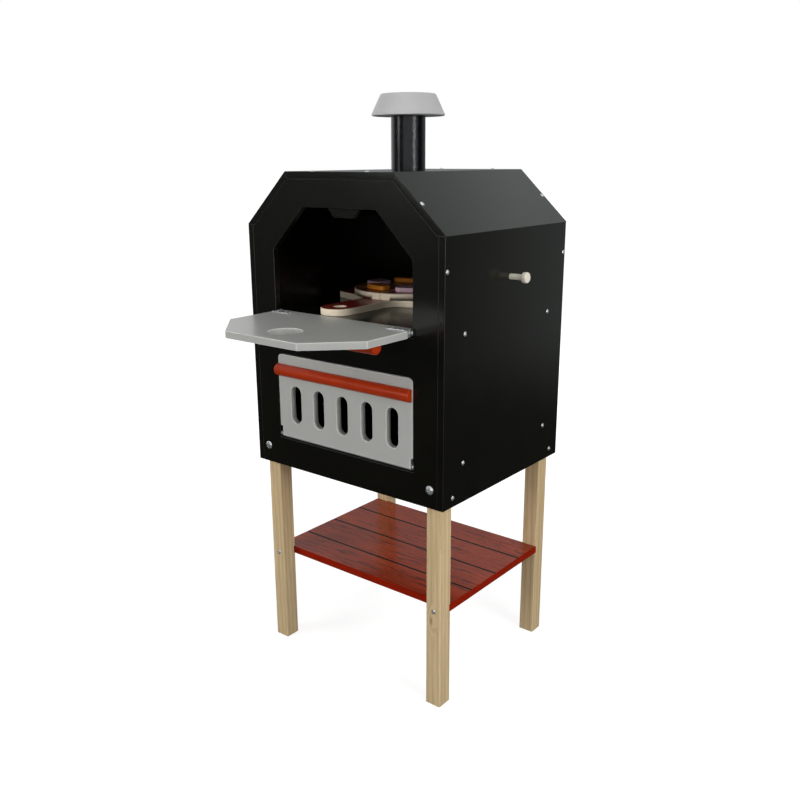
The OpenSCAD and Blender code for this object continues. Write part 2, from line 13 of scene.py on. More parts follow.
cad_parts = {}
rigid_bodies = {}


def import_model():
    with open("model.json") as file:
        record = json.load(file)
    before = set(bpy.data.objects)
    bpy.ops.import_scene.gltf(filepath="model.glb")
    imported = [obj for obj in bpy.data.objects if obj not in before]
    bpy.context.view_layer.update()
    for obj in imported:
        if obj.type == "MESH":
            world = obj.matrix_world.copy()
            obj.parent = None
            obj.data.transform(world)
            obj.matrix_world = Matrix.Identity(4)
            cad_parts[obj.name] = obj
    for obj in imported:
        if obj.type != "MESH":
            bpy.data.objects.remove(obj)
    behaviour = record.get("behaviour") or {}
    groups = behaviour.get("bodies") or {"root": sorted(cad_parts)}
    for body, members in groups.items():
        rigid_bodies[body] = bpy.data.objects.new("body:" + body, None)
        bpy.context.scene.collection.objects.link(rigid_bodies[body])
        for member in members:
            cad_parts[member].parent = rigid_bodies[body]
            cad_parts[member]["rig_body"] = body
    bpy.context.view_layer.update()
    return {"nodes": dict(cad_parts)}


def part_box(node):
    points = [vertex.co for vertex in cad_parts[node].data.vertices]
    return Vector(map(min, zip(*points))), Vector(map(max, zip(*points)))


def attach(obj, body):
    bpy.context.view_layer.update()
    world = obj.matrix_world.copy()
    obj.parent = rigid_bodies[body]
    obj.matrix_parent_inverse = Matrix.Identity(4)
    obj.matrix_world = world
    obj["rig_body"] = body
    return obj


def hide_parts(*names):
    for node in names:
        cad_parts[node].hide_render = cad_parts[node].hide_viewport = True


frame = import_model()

MM = 0.001


# ---------------------------------------------------------------- helpers

def linear(hex_colour):
    """An sRGB hex colour as the linear RGBA that shaders take, by the sRGB standard's own curve."""
    parts = [int(hex_colour[i:i + 2], 16) / 255 for i in (1, 3, 5)]
    return (*[c / 12.92 if c <= 0.04045 else ((c + 0.055) / 1.055) ** 2.4 for c in parts], 1)


def add(tree, kind, inputs=None, **settings):
    """Adds a node. A node or socket in inputs is linked, and any other value is set on the input."""
    node = tree.nodes.new(kind)
    for name, value in settings.items():
        setattr(node, name, value)
    for key, value in (inputs or {}).items():
        if isinstance(value, bpy.types.Node):
            value = value.outputs[0]
        if isinstance(value, bpy.types.NodeSocket):
            tree.links.new(value, node.inputs[key])
        else:
            node.inputs[key].default_value = value
    return node


def per_metre(size_mm):
    """How often a pattern of this size repeats in a metre."""
    return 1 / (size_mm * MM)


def grained(across_mm, along_mm, along="Z"):
    """Repeats in a metre of a grain that is fine across and long along one axis."""
    return [per_metre(along_mm if axis == along else across_mm) for axis in "XYZ"]


def new_finish(name):
    """An empty material, its node tree, and the part's own coordinates in metres."""
    material = bpy.data.materials.new(name)
    material.use_nodes = True
    tree = material.node_tree
    tree.nodes.clear()
    return material, tree, add(tree, "ShaderNodeTexCoord").outputs["Object"]


def stained(tree, ground, *stains):
    """A ground colour with stains laid over it in turn.

    Each stain is a pattern, the values at which it starts and is full, its strength, and its colour.
    """
    colour = linear(ground)
    for pattern, starts, full, strength, hex_colour in stains:
        amount = add(tree, "ShaderNodeMapRange", {
            "Value": pattern, "From Min": starts, "From Max": full, "To Max": strength})
        # A colour mix takes its factor on socket 0 and its colours on 6 and 7, and gives them on output 2
        colour = add(tree, "ShaderNodeMix", {0: amount, 6: colour, 7: linear(hex_colour)},
                     data_type="RGBA").outputs[2]
    return colour


# Most of a noise pattern's values lie between these two
NOISE_LOW = 0.3
NOISE_HIGH = 0.7
# A wave texture draws one ring or straight band in about this much of its own length, and one diagonal band
# in twice that
WAVE_LENGTH = 0.3
# Paint, lacquer and bare wood all bend light by about this much
FINISH_IOR = 1.5


# ---------------------------------------------------------------- painted boards

def rolled_paint(name, body, thin, sheen, specular, stipple_mm=0.01):
    """Satin paint rolled on fibreboard: an even sheet with a faint stipple.

    The thin colour shows where the coat is thin, and the sheen is its roughness.
    """
    material, tree, spot = new_finish(name)
    # The roller's stipple is about 1 mm across, too fine to show; it is drawn at 3 mm
    stipple = add(tree, "ShaderNodeTexNoise", {"Vector": spot, "Scale": per_metre(3), "Detail": 2})
    # Each pass of the roller leaves a broad, slightly thinner patch
    passes = add(tree, "ShaderNodeTexNoise", {"Vector": spot, "Scale": per_metre(70), "Detail": 2})
    colour = stained(tree, body, (passes, 0.4, 0.7, 0.7, thin), (stipple, 0.55, 0.75, 0.4, thin))
    rough = add(tree, "ShaderNodeMapRange", {
        "Value": stipple, "From Min": NOISE_LOW, "From Max": NOISE_HIGH,
        "To Min": sheen - 0.02, "To Max": sheen + 0.04})
    relief = add(tree, "ShaderNodeBump", {"Height": stipple, "Distance": stipple_mm * MM, "Strength": 0.5})
    paint = add(tree, "ShaderNodeBsdfPrincipled", {
        "Base Color": colour, "Roughness": rough, "IOR": FINISH_IOR, "Specular IOR Level": specular,
        "Normal": relief})
    add(tree, "ShaderNodeOutputMaterial", {"Surface": paint})
    return material


# Satin black paint: to the eye a near-black sheet that lifts a little towards a pale wall
BLACK_PAINT = rolled_paint("satin_black_paint", "#0c0b07", "#100f0a", sheen=0.2, specular=0.4)
# The same paint over a sanded edge, paler partly where it runs thin and partly as a painted highlight along
# the edge, so the joints show as fine paler lines
BLACK_EDGE = rolled_paint("thin_black_paint_and_painted_highlight", "#181816", "#242422", sheen=0.3, specular=0.45)
# Satin grey paint: to the eye an even stone grey
GREY_PAINT = rolled_paint("satin_grey_paint", "#afb0ab", "#b2b3ae", sheen=0.31, specular=0.65,
                          stipple_mm=0.004)
# The grey over a rounded edge, painted paler as a painted highlight where the edge catches more light
GREY_EDGE = rolled_paint("grey_edge_painted_highlight", "#c4c5c1", "#cccdc9", sheen=0.46, specular=0.35)
# The cap's grey is painted paler than the door's: painted light, standing in for the brighter light that
# falls on the cap
CAP_GREY_PAINTED_LIGHT = rolled_paint("cap_grey_with_painted_light", "#bababa", "#c1c1c1", sheen=0.4, specular=0.35)
# Black paint run into the shelf's sawn grooves: matt, with the red showing through
GROOVE_PAINT = rolled_paint("groove_black_paint", "#181110", "#251715", sheen=0.6, specular=0.3)


def brushed_paint():
    """Gloss black brushed along a turned tube: to the eye, bright streaks that break up into dashes."""
    material, tree, spot = new_finish("gloss_black_paint")
    # Brush marks are 1 mm wide and about 6 mm long; drawn 2 mm wide so that they show
    along = add(tree, "ShaderNodeMapping", {"Vector": spot, "Scale": grained(2, 6)})
    marks = add(tree, "ShaderNodeTexNoise", {"Vector": along, "Scale": 1, "Detail": 3, "Roughness": 0.6})
    colour = stained(tree, "#07080c", (marks, 0.45, 0.7, 1, "#121418"))
    rough = add(tree, "ShaderNodeMapRange", {
        "Value": marks, "From Min": NOISE_LOW, "From Max": NOISE_HIGH, "To Min": 0.1, "To Max": 0.22})
    relief = add(tree, "ShaderNodeBump", {"Height": marks, "Distance": 0.25 * MM, "Strength": 0.8})
    paint = add(tree, "ShaderNodeBsdfPrincipled", {
        "Base Color": colour, "Roughness": rough, "IOR": FINISH_IOR, "Specular IOR Level": 0.35,
        "Normal": relief})
    add(tree, "ShaderNodeOutputMaterial", {"Surface": paint})
    return material


PIPE_PAINT = brushed_paint()


def bare_board():
    """Unpainted fibreboard: to the eye a dull tan felt of short fibres that lie every way."""
    material, tree, spot = new_finish("bare_fibreboard")
    # Fibres are 0.3 mm across and 3 mm long, too fine to show; drawn 1.6 mm across and 5 mm long
    lengthways = add(tree, "ShaderNodeMapping", {"Vector": spot, "Scale": grained(1.6, 5, "X")})
    dark_fibres = add(tree, "ShaderNodeTexNoise", {
        "Vector": lengthways, "Scale": 1, "Detail": 3, "Roughness": 0.7})
    crossways = add(tree, "ShaderNodeMapping", {"Vector": spot, "Scale": grained(1.6, 5, "Y")})
    pale_fibres = add(tree, "ShaderNodeTexNoise", {
        "Vector": crossways, "Scale": 1, "Detail": 3, "Roughness": 0.7})
    clouds = add(tree, "ShaderNodeTexNoise", {"Vector": spot, "Scale": per_metre(50), "Detail": 2})
    colour = stained(tree, "#b0a27e", (clouds, 0.35, 0.7, 1, "#a19271"),
                     (dark_fibres, 0.5, 0.75, 0.7, "#857650"), (pale_fibres, 0.55, 0.8, 0.6, "#c3b792"))
    relief = add(tree, "ShaderNodeBump", {"Height": dark_fibres, "Distance": 0.06 * MM, "Strength": 0.6})
    board = add(tree, "ShaderNodeBsdfPrincipled", {
        "Base Color": colour, "Roughness": 0.7, "IOR": FINISH_IOR, "Specular IOR Level": 0.2,
        "Normal": relief})
    add(tree, "ShaderNodeOutputMaterial", {"Surface": board})
    return material


BARE_BOARD = bare_board()


# ---------------------------------------------------------------- solid wood

def planed_pine(name, knot=None):
    """Planed pine under a matt lacquer: to the eye pale straw, with soft darker lines up the leg.

    A knot, if given, is the point on a face that the lines bend round.
    """
    material, tree, spot = new_finish(name)
    grain_spot = spot
    if knot:
        # The knot is about 7 mm across. It pushes the lines aside for 16 mm beside it, and 40 mm up and down
        knot_core = 1.5 * MM
        knot_rim = 4 * MM
        knot_push = 9 * MM
        knot_reach = 16 * MM
        flattened = (1, 1, 0.4)
        squeezed = add(tree, "ShaderNodeVectorMath", {0: spot, 1: flattened}, operation="MULTIPLY")
        centre = [place * share for place, share in zip(knot, flattened)]
        away = add(tree, "ShaderNodeVectorMath", {0: squeezed, 1: centre},
                   operation="DISTANCE").outputs["Value"]
        push = add(tree, "ShaderNodeMapRange", {
            "Value": away, "From Min": 0, "From Max": knot_reach, "To Min": knot_push, "To Max": 0},
            interpolation_type="SMOOTHSTEP")
        shift = add(tree, "ShaderNodeCombineXYZ", {0: push, 1: push})
        grain_spot = add(tree, "ShaderNodeVectorMath", {0: spot, 1: shift}, operation="ADD")
        eye_of_knot = add(tree, "ShaderNodeMapRange", {
            "Value": away, "From Min": knot_core, "From Max": knot_rim, "To Min": 1, "To Max": 0})
    # Summer rings show as lines about 10 mm apart on a face, and wander slowly up the leg
    ring_place = add(tree, "ShaderNodeMapping", {"Vector": grain_spot, "Scale": grained(5, 260)})
    rings = add(tree, "ShaderNodeTexWave", {
        "Vector": ring_place, "Scale": WAVE_LENGTH, "Distortion": 2.6, "Detail": 2, "Detail Scale": 0.7},
        bands_direction="DIAGONAL", wave_profile="SIN").outputs["Fac"]
    # Fibres are 0.2 mm across, too fine to show; drawn 1.8 mm across and 50 mm long
    fibre_place = add(tree, "ShaderNodeMapping", {"Vector": grain_spot, "Scale": grained(1.8, 50)})
    fibres = add(tree, "ShaderNodeTexNoise", {
        "Vector": fibre_place, "Scale": 1, "Detail": 3, "Roughness": 0.65})
    # Heartwood comes and goes in bands a finger wide
    heart_place = add(tree, "ShaderNodeMapping", {"Vector": grain_spot, "Scale": grained(14, 220)})
    heart = add(tree, "ShaderNodeTexNoise", {"Vector": heart_place, "Scale": 1, "Detail": 2})
    stains = [(heart, 0.35, 0.7, 0.6, "#c3a87f"), (rings, 0.55, 1, 0.38, "#ae9168"),
              (fibres, 0.48, 0.75, 0.42, "#a0835c")]
    if knot:
        stains.append((eye_of_knot, 0, 1, 0.55, "#7d5c38"))
    colour = stained(tree, "#dac39a", *stains)
    rough = add(tree, "ShaderNodeMapRange", {
        "Value": fibres, "From Min": NOISE_LOW, "From Max": NOISE_HIGH, "To Min": 0.46, "To Max": 0.6})
    relief = add(tree, "ShaderNodeBump", {"Height": fibres, "Distance": 0.08 * MM, "Strength": 0.5})
    wood = add(tree, "ShaderNodeBsdfPrincipled", {
        "Base Color": colour, "Roughness": rough, "IOR": FINISH_IOR, "Specular IOR Level": 0.18,
        "Normal": relief})
    add(tree, "ShaderNodeOutputMaterial", {"Surface": wood})
    return material


PINE = planed_pine("planed_pine")

# The front right leg has a knot on its front face, a little below the shelf
KNOTTY_LEG = "front_right_leg"
KNOT_IN = 11 * MM
KNOT_BELOW_SHELF = 12 * MM
shelf_low, shelf_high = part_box("shelf")
knotty_leg_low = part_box(KNOTTY_LEG)[0]
KNOT = (knotty_leg_low.x + KNOT_IN, knotty_leg_low.y, shelf_low.z - KNOT_BELOW_SHELF)
KNOTTY_PINE = planed_pine("knotty_pine", KNOT)


def end_grain():
    """Sawn pine ends: to the eye darker than the faces, since the open pores drink the lacquer."""
    material, tree, spot = new_finish("pine_end_grain")
    # Rings 5 mm apart, round the tree's heart, which lies outside the legs
    heart = add(tree, "ShaderNodeMapping", {"Vector": spot, "Location": (90 * MM, 40 * MM, 0)})
    rings = add(tree, "ShaderNodeTexWave", {
        "Vector": heart, "Scale": WAVE_LENGTH * per_metre(5), "Distortion": 1, "Detail": 2},
        wave_type="RINGS", rings_direction="Z").outputs["Fac"]
    # Pores are far finer than a pixel; drawn 1.5 mm across
    pores = add(tree, "ShaderNodeTexNoise", {"Vector": spot, "Scale": per_metre(1.5), "Detail": 2})
    colour = stained(tree, "#a98a5e", (rings, 0.4, 1, 0.7, "#8a6a40"), (pores, 0.5, 0.8, 0.6, "#6f5430"))
    relief = add(tree, "ShaderNodeBump", {"Height": pores, "Distance": 0.15 * MM})
    wood = add(tree, "ShaderNodeBsdfPrincipled", {
        "Base Color": colour, "Roughness": 0.72, "IOR": FINISH_IOR, "Specular IOR Level": 0.2,
        "Normal": relief})
    add(tree, "ShaderNodeOutputMaterial", {"Surface": wood})
    return material


END_GRAIN = end_grain()


def turned_beech():
    """Beech turned on a lathe and lacquered: to the eye pale and close-grained, with short darker flecks."""
    material, tree, spot = new_finish("turned_beech")
    # Flecks are 0.5 mm across and 4 mm long, too fine to show; drawn 1.4 mm across and 8 mm long
    along = add(tree, "ShaderNodeMapping", {"Vector": spot, "Scale": grained(1.4, 8, "X")})
    flecks = add(tree, "ShaderNodeTexNoise", {"Vector": along, "Scale": 1, "Detail": 3, "Roughness": 0.6})
    colour = stained(tree, "#ece7d8", (flecks, 0.45, 0.75, 0.65, "#cfc2a0"))
    relief = add(tree, "ShaderNodeBump", {"Height": flecks, "Distance": 0.04 * MM, "Strength": 0.5})
    wood = add(tree, "ShaderNodeBsdfPrincipled", {
        "Base Color": colour, "Roughness": 0.36, "IOR": FINISH_IOR, "Specular IOR Level": 0.4,
        "Normal": relief})
    add(tree, "ShaderNodeOutputMaterial", {"Surface": wood})
    return material


BEECH = turned_beech()


# ---------------------------------------------------------------- lacquered wood

def grained_lacquer(groove_pitch):
    """Brick-red lacquer over a coarse grain: to the eye, dark arched lines along each plank under a gloss."""
    material, tree, spot = new_finish("grained_red_lacquer")
    # Growth lines stand about 12 mm apart and arch over a hand's length of each plank
    arch_place = add(tree, "ShaderNodeMapping", {"Vector": spot, "Scale": grained(20, 70, "X")})
    arches = add(tree, "ShaderNodeTexWave", {
        "Vector": arch_place, "Scale": 0.5, "Distortion": 14, "Detail": 3, "Detail Scale": 0.8,
        "Detail Roughness": 0.65}, bands_direction="Y").outputs["Fac"]
    # The lines fade out and come back, every 20 mm across and every 110 mm along
    fade_place = add(tree, "ShaderNodeMapping", {"Vector": spot, "Scale": grained(20, 110, "X")})
    fade = add(tree, "ShaderNodeTexNoise", {"Vector": fade_place, "Scale": 1, "Detail": 2})
    lines = add(tree, "ShaderNodeMath", {0: arches, 1: fade}, operation="MULTIPLY")
    # Pores are short dark strokes, far finer than a pixel; drawn 2.5 mm wide and 22 mm long
    stroke_place = add(tree, "ShaderNodeMapping", {"Vector": spot, "Scale": grained(2.5, 22, "X")})
    strokes = add(tree, "ShaderNodeTexNoise", {
        "Vector": stroke_place, "Scale": 1, "Detail": 3, "Roughness": 0.65})
    # The lacquer is darker in patches of 35 by 90 mm
    broad_place = add(tree, "ShaderNodeMapping", {"Vector": spot, "Scale": grained(35, 90, "X")})
    broad = add(tree, "ShaderNodeTexNoise", {"Vector": broad_place, "Scale": 1, "Detail": 2})
    # The black paint laps over each groove's edge by about a millimetre and a half
    lap_full = 2.2 * MM
    lap_end = 2.9 * MM
    across = add(tree, "ShaderNodeSeparateXYZ", {0: spot}).outputs["Y"]
    from_groove = add(tree, "ShaderNodeMath", {0: across, 1: groove_pitch / 2}, operation="PINGPONG")
    lap = add(tree, "ShaderNodeMapRange", {
        "Value": from_groove, "From Min": lap_full, "From Max": lap_end, "To Min": 1, "To Max": 0})
    colour = stained(tree, "#a83a16", (broad, 0.35, 0.7, 0.9, "#8e2c0e"),
                     (strokes, 0.52, 0.75, 0.45, "#5c1c0b"), (lines, 0.37, 0.58, 0.7, "#42140b"),
                     (lap, 0, 1, 1, "#1a100e"))
    rough = add(tree, "ShaderNodeMapRange", {
        "Value": strokes, "From Min": NOISE_LOW, "From Max": NOISE_HIGH, "To Min": 0.2, "To Max": 0.3})
    relief = add(tree, "ShaderNodeBump", {"Height": strokes, "Distance": 0.03 * MM, "Strength": 0.5},
                 invert=True)
    lacquer = add(tree, "ShaderNodeBsdfPrincipled", {
        "Base Color": colour, "Roughness": rough, "IOR": FINISH_IOR, "Specular IOR Level": 0.3,
        "Coat Weight": 0.15, "Coat Roughness": 0.1, "Normal": relief})
    add(tree, "ShaderNodeOutputMaterial", {"Surface": lacquer})
    return material


GROOVE_PITCH = 80 * MM
SHELF_FACE = grained_lacquer(GROOVE_PITCH)


def coloured_lacquer(name, body, pooled, along, sheen, specular, coat):
    """Coloured lacquer on turned or sawn wood: to the eye it pools darker in the grain.

    Where it has a clear coat, the coat draws a line of light. The sheen is the lacquer's roughness.
    """
    material, tree, spot = new_finish(name)
    # The grain shows as streaks 2.5 mm wide and 60 mm long
    place = add(tree, "ShaderNodeMapping", {"Vector": spot, "Scale": grained(2.5, 60, along)})
    grain = add(tree, "ShaderNodeTexNoise", {"Vector": place, "Scale": 1, "Detail": 3, "Roughness": 0.65})
    pools = add(tree, "ShaderNodeTexNoise", {"Vector": spot, "Scale": per_metre(30), "Detail": 2})
    colour = stained(tree, body, (grain, 0.45, 0.8, 0.8, pooled), (pools, 0.4, 0.75, 0.5, pooled))
    rough = add(tree, "ShaderNodeMapRange", {
        "Value": grain, "From Min": NOISE_LOW, "From Max": NOISE_HIGH,
        "To Min": sheen - 0.05, "To Max": sheen + 0.1})
    relief = add(tree, "ShaderNodeBump", {"Height": grain, "Distance": 0.06 * MM, "Strength": 0.6})
    lacquer = add(tree, "ShaderNodeBsdfPrincipled", {
        "Base Color": colour, "Roughness": rough, "IOR": FINISH_IOR, "Specular IOR Level": specular,
        "Coat Weight": coat, "Coat Roughness": 0.14, "Normal": relief})
    add(tree, "ShaderNodeOutputMaterial", {"Surface": lacquer})
    return material


# Orange-red on the rods, duller and uncoated on the shelf's sawn edges, and dark red on the peel
RED_ROD = coloured_lacquer("orange_red_lacquer", "#aa320c", "#922707", "X", sheen=0.32, specular=0.16,
                           coat=0.18)
RED_EDGE = coloured_lacquer("red_edge_lacquer", "#941c02", "#791400", "X", sheen=0.6, specular=0.08, coat=0)
PEEL_FACE = coloured_lacquer("dark_red_lacquer", "#782820", "#641d17", "Y", sheen=0.34, specular=0.25,
                             coat=0.2)


# ---------------------------------------------------------------- plywood toys

SHEET_MM = 12
VENEERS = 5


def plywood_edge(name, pale, dark, low):
    """Sanded plywood edge: to the eye, cream layers with a faint darker one between."""
    material, tree, spot = new_finish(name)
    # The veneers are counted from the sheet's lower face
    veneers_in_metre = per_metre(SHEET_MM / VENEERS)
    counted = add(tree, "ShaderNodeMapping", {
        "Vector": spot, "Location": (0, 0, -low * veneers_in_metre), "Scale": [veneers_in_metre] * 3})
    height = add(tree, "ShaderNodeSeparateXYZ", {0: counted}).outputs["Z"]
    layer = add(tree, "ShaderNodeMath", {0: height, 1: 1}, operation="PINGPONG")
    # Fibres are far finer than a pixel; drawn 1.2 mm thick and 6 mm long
    fibre_place = add(tree, "ShaderNodeMapping", {
        "Vector": spot, "Scale": (per_metre(6), per_metre(6), per_metre(1.2))})
    fibres = add(tree, "ShaderNodeTexNoise", {
        "Vector": fibre_place, "Scale": 1, "Detail": 3, "Roughness": 0.6})
    colour = stained(tree, pale, (layer, 0.8, 1, 0.6, dark), (fibres, 0.5, 0.8, 0.5, dark))
    relief = add(tree, "ShaderNodeBump", {"Height": fibres, "Distance": 0.06 * MM, "Strength": 0.6})
    wood = add(tree, "ShaderNodeBsdfPrincipled", {
        "Base Color": colour, "Roughness": 0.6, "IOR": FINISH_IOR, "Specular IOR Level": 0.25,
        "Normal": relief})
    add(tree, "ShaderNodeOutputMaterial", {"Surface": wood})
    return material


SLICES = ["pizza_slice_%d" % number for number in range(1, 7)]
slice_boxes = [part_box(one) for one in SLICES]
pizza_low = Vector([min(low[axis] for low, high in slice_boxes) for axis in range(3)])
pizza_high = Vector([max(high[axis] for low, high in slice_boxes) for axis in range(3)])
pizza_centre = (pizza_low + pizza_high) / 2
pizza_radius = (pizza_high.x - pizza_low.x) / 2

PEEL_EDGE = plywood_edge("peel_plywood_edge", "#f4e7cf", "#dcc49c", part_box("peel")[0].z)
PIZZA_EDGE = plywood_edge("pizza_plywood_edge", "#f2e5cc", "#dac49e", pizza_low.z)


def pizza_face():
    """Varnished paint on plywood: to the eye a toasted rim round tomato, with patches of melted cheese."""
    material, tree, spot = new_finish("painted_pizza_face")
    flat = add(tree, "ShaderNodeVectorMath", {0: spot, 1: (1, 1, 0)}, operation="MULTIPLY")
    centre = (pizza_centre.x, pizza_centre.y, 0)
    away = add(tree, "ShaderNodeVectorMath", {0: flat, 1: centre}, operation="DISTANCE").outputs["Value"]
    # The rim's inner line wanders by a few millimetres
    wander = 8 * MM
    rim_starts = pizza_radius - 5 * MM
    rim_full = pizza_radius - 2 * MM
    wobble = add(tree, "ShaderNodeTexNoise", {"Vector": spot, "Scale": per_metre(14), "Detail": 2})
    ragged = add(tree, "ShaderNodeMath", {0: wobble, 1: wander, 2: away}, operation="MULTIPLY_ADD")
    # Toasted marks are 10 mm across, and patches of cheese 24 mm
    toast = add(tree, "ShaderNodeTexNoise", {"Vector": spot, "Scale": per_metre(10), "Detail": 3})
    cheese = add(tree, "ShaderNodeTexNoise", {
        "Vector": spot, "Scale": per_metre(24), "Detail": 3, "Distortion": 0.6})
    colour = stained(tree, "#74291a", (toast, 0.35, 0.7, 0.8, "#571c12"),
                     (cheese, 0.52, 0.58, 0.85, "#a8713a"), (ragged, rim_starts, rim_full, 1, "#8d6a42"))
    relief = add(tree, "ShaderNodeBump", {"Height": toast, "Distance": 0.04 * MM, "Strength": 0.4})
    paint = add(tree, "ShaderNodeBsdfPrincipled", {
        "Base Color": colour, "Roughness": 0.4, "IOR": FINISH_IOR, "Coat Weight": 0.25,
        "Coat Roughness": 0.18, "Normal": relief})
    add(tree, "ShaderNodeOutputMaterial", {"Surface": paint})
    return material


PIZZA_FACE = pizza_face()


def block_paint(name, body, flecked, sheen):
    """Thin paint on small sawn blocks: to the eye, the cut grain shows through as darker flecks.

    The sheen is its roughness.
    """
    material, tree, spot = new_finish(name)
    # Cut grain is far finer than a pixel; the flecks are drawn 2 mm across and 8 mm long
    place = add(tree, "ShaderNodeMapping", {"Vector": spot, "Scale": grained(2, 8, "X")})
    flecks = add(tree, "ShaderNodeTexNoise", {"Vector": place, "Scale": 1, "Detail": 3, "Roughness": 0.65})
    clouds = add(tree, "ShaderNodeTexNoise", {"Vector": spot, "Scale": per_metre(12), "Detail": 2})
    colour = stained(tree, body, (flecks, 0.45, 0.75, 0.8, flecked), (clouds, 0.4, 0.7, 0.5, flecked))
    relief = add(tree, "ShaderNodeBump", {"Height": flecks, "Distance": 0.06 * MM, "Strength": 0.5})
    paint = add(tree, "ShaderNodeBsdfPrincipled", {
        "Base Color": colour, "Roughness": sheen, "IOR": FINISH_IOR, "Specular IOR Level": 0.4,
        "Normal": relief})
    add(tree, "ShaderNodeOutputMaterial", {"Surface": paint})
    return material


# Each colour is thin and pale on the sawn sides, and deeper on the faces
MAUVE_FACE = block_paint("mauve_paint", "#a8879a", "#8c6a80", sheen=0.4)
MAUVE_EDGE = block_paint("pale_mauve_paint", "#cfb0bd", "#b590a2", sheen=0.5)
ORANGE_FACE = block_paint("brown_orange_paint", "#c47829", "#9c5418", sheen=0.4)
ORANGE_EDGE = block_paint("orange_paint", "#e09030", "#c06c14", sheen=0.5)


# ---------------------------------------------------------------- plated steel

def plated_steel(name, bright, hazed, sheen, metal, along):
    """Bright zinc or nickel on drawn steel: to the eye a cool mirror, dulled by fine lines.

    The haze on the plate scatters light, so metal is somewhat below 1. The sheen is its roughness.
    """
    material, tree, spot = new_finish(name)
    # Draw lines are far finer than a pixel; drawn 0.8 mm apart and 8 mm long
    place = add(tree, "ShaderNodeMapping", {"Vector": spot, "Scale": grained(0.8, 8, along)})
    lines = add(tree, "ShaderNodeTexNoise", {"Vector": place, "Scale": 1, "Detail": 2, "Roughness": 0.6})
    haze = add(tree, "ShaderNodeTexNoise", {"Vector": spot, "Scale": per_metre(4), "Detail": 2})
    colour = stained(tree, bright, (haze, 0.4, 0.7, 1, hazed))
    rough = add(tree, "ShaderNodeMapRange", {
        "Value": lines, "From Min": NOISE_LOW, "From Max": NOISE_HIGH,
        "To Min": sheen - 0.06, "To Max": sheen + 0.1})
    relief = add(tree, "ShaderNodeBump", {"Height": lines, "Distance": 0.02 * MM, "Strength": 0.6})
    plate = add(tree, "ShaderNodeBsdfPrincipled", {
        "Base Color": colour, "Metallic": metal, "Roughness": rough, "Normal": relief})
    add(tree, "ShaderNodeOutputMaterial", {"Surface": plate})
    return material


ZINC = plated_steel("zinc_plated_steel", "#e4e6e6", "#b4b8bb", sheen=0.22, metal=0.8, along="Z")
NICKEL = plated_steel("nickel_plated_steel", "#eceef0", "#b4b8bc", sheen=0.2, metal=0.75, along="X")


# ---------------------------------------------------------------- pieces

SHARP_EDGE = math.radians(30)
NEARLY_FLAT = math.radians(0.4)
WELD = 0.002 * MM
ROUND_PROFILE = 0.5
LARGE_FACES_FIRST = 100
FACE_SLOT = 0
EDGE_SLOT = 1


def finished(node, name, face, edge=None, ease_mm=0.0, steps=2, smallest_mm2=12, pick=None):
    """Makes a piece that stands for a CAD node: the same shape, with eased edges and a finish for each face.

    Edges sharper than SHARP_EDGE are rounded by ease_mm in a few steps, except next to a face below the
    smallest area. The rounding takes the edge finish. pick may name another finish from a face's middle, its
    normal and whether it is part of the rounding.
    """
    mesh = frame["nodes"][node].data.copy()
    mesh.name = name
    mesh.materials.clear()
    shape = bmesh.new()
    shape.from_mesh(mesh)
    bmesh.ops.remove_doubles(shape, verts=shape.verts, dist=WELD)
    bmesh.ops.dissolve_limit(shape, angle_limit=NEARLY_FLAT, verts=shape.verts, edges=shape.edges)
    for one in shape.faces:
        one.material_index = FACE_SLOT
    if ease_mm:
        sharp = [line for line in shape.edges if len(line.link_faces) == 2
                 and line.calc_face_angle(0) > SHARP_EDGE
                 and min(one.calc_area() for one in line.link_faces) > smallest_mm2 * MM * MM]
        bmesh.ops.bevel(shape, geom=sharp, offset=ease_mm * MM, offset_type="OFFSET", segments=steps,
                        profile=ROUND_PROFILE, affect="EDGES", material=EDGE_SLOT, clamp_overlap=False)
    finishes = [face, edge or face]
    for one in shape.faces:
        eased = one.material_index == EDGE_SLOT
        other = pick(one.calc_center_median(), one.normal, eased) if pick else None
        if other:
            if other not in finishes:
                finishes.append(other)
            one.material_index = finishes.index(other)
        one.smooth = True
    for finish in finishes:
        mesh.materials.append(finish)
    shape.to_mesh(mesh)
    shape.free()
    mesh.set_sharp_from_angle(angle=SHARP_EDGE)
    piece = bpy.data.objects.new(name, mesh)
    bpy.context.scene.collection.objects.link(piece)
    flat = piece.modifiers.new("flat_faces", "WEIGHTED_NORMAL")
    flat.keep_sharp = True
    flat.weight = LARGE_FACES_FIRST
    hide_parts(node)
    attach(piece, frame["nodes"][node]["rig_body"])


def level(normal):
    """Whether a face with this normal lies level, or nearly so."""
    return abs(normal.z) > 0.9


# Cabinet boards, their edges sanded before the paint
for board in ("front_panel", "back_panel", "left_side_panel", "right_side_panel",
              "left_roof_panel", "right_roof_panel", "top_panel"):
    finished(board, board + "_board", BLACK_PAINT, BLACK_EDGE, ease_mm=0.8)
for block in ("door_stop", "flap_stop"):
    finished(block, block + "_block", BLACK_PAINT, BLACK_EDGE, ease_mm=1.2)
for board in ("oven_floor", "firebox_floor"):
    finished(board, board + "_board", BLACK_PAINT, BLACK_EDGE, ease_mm=0.4)

# Door, flap and chimney
finished("door_panel", "door_board", GREY_PAINT, GREY_EDGE, ease_mm=1.2, steps=3)
finished("flap_panel", "flap_board", GREY_PAINT, GREY_EDGE, ease_mm=1.2, steps=3)
# The cap takes the paler grey, which holds painted light
finished("chimney_cap", "turned_cap", CAP_GREY_PAINTED_LIGHT)
finished("chimney_pipe", "turned_pipe", PIPE_PAINT)
finished("chimney_plug", "pipe_plug", BARE_BOARD)

# Rod handles, their ends rounded over
for rod in ("door_handle", "flap_handle"):
    finished(rod, rod + "_rod", RED_ROD, ease_mm=2, steps=4)


# Legs, with end grain on their sawn ends
def leg_end(middle, normal, eased):
    return END_GRAIN if level(normal) and not eased else None


